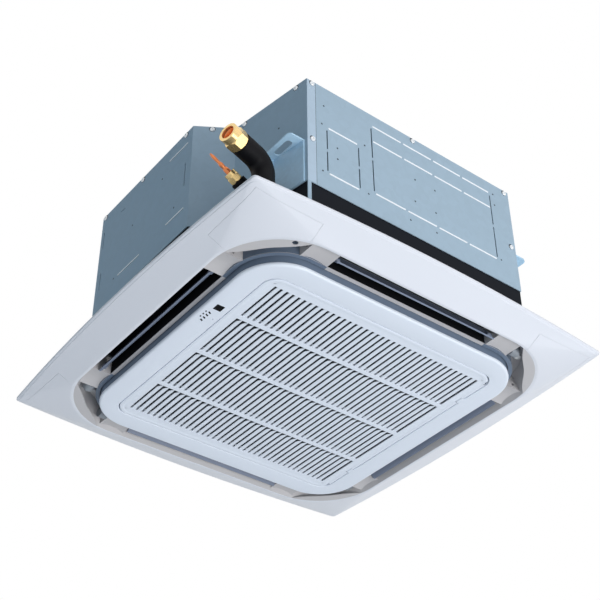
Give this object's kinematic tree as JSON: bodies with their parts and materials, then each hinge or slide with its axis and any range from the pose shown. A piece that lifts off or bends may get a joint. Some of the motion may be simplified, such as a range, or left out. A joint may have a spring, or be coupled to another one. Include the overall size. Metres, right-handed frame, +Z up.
{
  "type": "ceiling fan coil unit",
  "caption": "Compact four-way ceiling cassette with a dished white panel, slotted intake grille, swinging louvres, galvanised body, hanger brackets and flared pipe connections.",
  "frame": {"origin": "centre of the four hanger slots, in the hanger plates' middle plane", "axes": "+Z up towards the ceiling slab; -Y is the side with the pipes, +X the wall with the knock-outs"},
  "size_m": [0.65, 0.65, 0.314],
  "materials": {
    "panel_white": "satin",
    "frame_white": "satin",
    "ring_grey": "matte",
    "louvre_grey": "matte",
    "window_black": "gloss",
    "light_lens": "gloss",
    "galvanised": "spangled zinc",
    "bracket_zinc": "bright zinc",
    "screw_zinc": "bright zinc",
    "foam_black": "matte foam",
    "lining_black": "matte foam",
    "sleeve_black": "matte foam",
    "seal_grey": "matte foam",
    "copper": "bright copper",
    "brass": "bright",
    "fin_aluminium": "fine fins",
    "motor_steel": "painted",
    "fan_plastic": "matte",
    "rubber": "matte",
    "circuit_green": "matte",
    "terminal_white": "matte",
    "bush_white": "satin",
    "filter_grey": "matte",
    "mesh_dark": "woven",
    "pump_white": "matte",
    "drain_grey": "matte",
    "float_blue": "matte"
  },
  "bodies": {
    "unit": {"panel_flange": "panel_white", "panel_corner_covers": "panel_white", "outlet_ring": "ring_grey", "outlet_end_blocks": "ring_grey", "louvre_bushes": "bush_white", "louvre_motors": "motor_steel", "centre_frame": "frame_white", "receiver_window": "window_black", "indicator_lights": "light_lens", "display_board": "circuit_green", "grille_hinge_pins": "screw_zinc", "grille_catches": "frame_white", "panel_seal": "seal_grey", "panel_screws": "screw_zinc", "pipe_corner_wall": "galvanised", "right_wall": "galvanised", "rear_wall": "galvanised", "left_wall": "galvanised", "front_wall": "galvanised", "corner_walls": "galvanised", "top_plate": "galvanised", "casing_lining": "lining_black", "casing_screws": "screw_zinc", "hanger_brackets": "bracket_zinc", "drain_pan": "foam_black", "coil_fins": "fin_aluminium", "coil_end_plates": "galvanised", "coil_return_bends": "copper", "coil_feeders": "copper", "gas_pipe": "copper", "liquid_pipe": "copper", "gas_pipe_sleeve": "sleeve_black", "liquid_pipe_sleeve": "sleeve_black", "gas_flare_nut": "brass", "liquid_flare_nut": "brass", "liquid_pipe_stub": "copper", "fan_motor": "motor_steel", "motor_plate": "galvanised", "motor_rubber_mounts": "rubber", "bellmouth": "fan_plastic", "control_box": "galvanised", "control_box_lid": "galvanised", "control_board": "circuit_green", "terminal_block": "terminal_white", "drain_pump": "pump_white", "drain_hose": "rubber", "drain_spigot": "drain_grey", "float_switch": "pump_white", "cable_grommet": "rubber"},
    "fan": {"fan_impeller": "fan_plastic", "fan_shaft": "screw_zinc", "fan_nut": "screw_zinc"},
    "right_louvre": {"louvre_right": "louvre_grey"},
    "rear_louvre": {"louvre_rear": "louvre_grey"},
    "left_louvre": {"louvre_left": "louvre_grey"},
    "front_louvre": {"louvre_front": "louvre_grey"},
    "grille": {"intake_grille": "frame_white", "air_filter_frame": "filter_grey", "air_filter_mesh": "mesh_dark"},
    "float_body": {"float": "float_blue"}
  },
  "joints": [
    {"name": "fan_spin", "type": "hinge", "parent": "unit", "child": "fan", "pos_m": [0, 0, 0.043], "axis": [0, 0, 1], "continuous": true},
    {"name": "right_louvre_swing", "type": "hinge", "parent": "unit", "child": "right_louvre", "pos_m": [0.25603, 0, -0.171], "axis": [0, 1, 0], "range_deg": [-55, 12]},
    {"name": "rear_louvre_swing", "type": "hinge", "parent": "unit", "child": "rear_louvre", "pos_m": [0, 0.25603, -0.171], "axis": [-1, 0, 0], "range_deg": [-55, 12]},
    {"name": "left_louvre_swing", "type": "hinge", "parent": "unit", "child": "left_louvre", "pos_m": [-0.25603, 0, -0.171], "axis": [0, -1, 0], "range_deg": [-55, 12]},
    {"name": "front_louvre_swing", "type": "hinge", "parent": "unit", "child": "front_louvre", "pos_m": [0, -0.25603, -0.171], "axis": [1, 0, 0], "range_deg": [-55, 12]},
    {"name": "grille_swing", "type": "hinge", "parent": "unit", "child": "grille", "pos_m": [0, 0.1995, -0.1905], "axis": [1, 0, 0], "range_deg": [0, 85]},
    {"name": "float_rise", "type": "slide", "parent": "unit", "child": "float_body", "axis": [0, 0, 1], "range_m": [0, 0.014]}
  ]
}
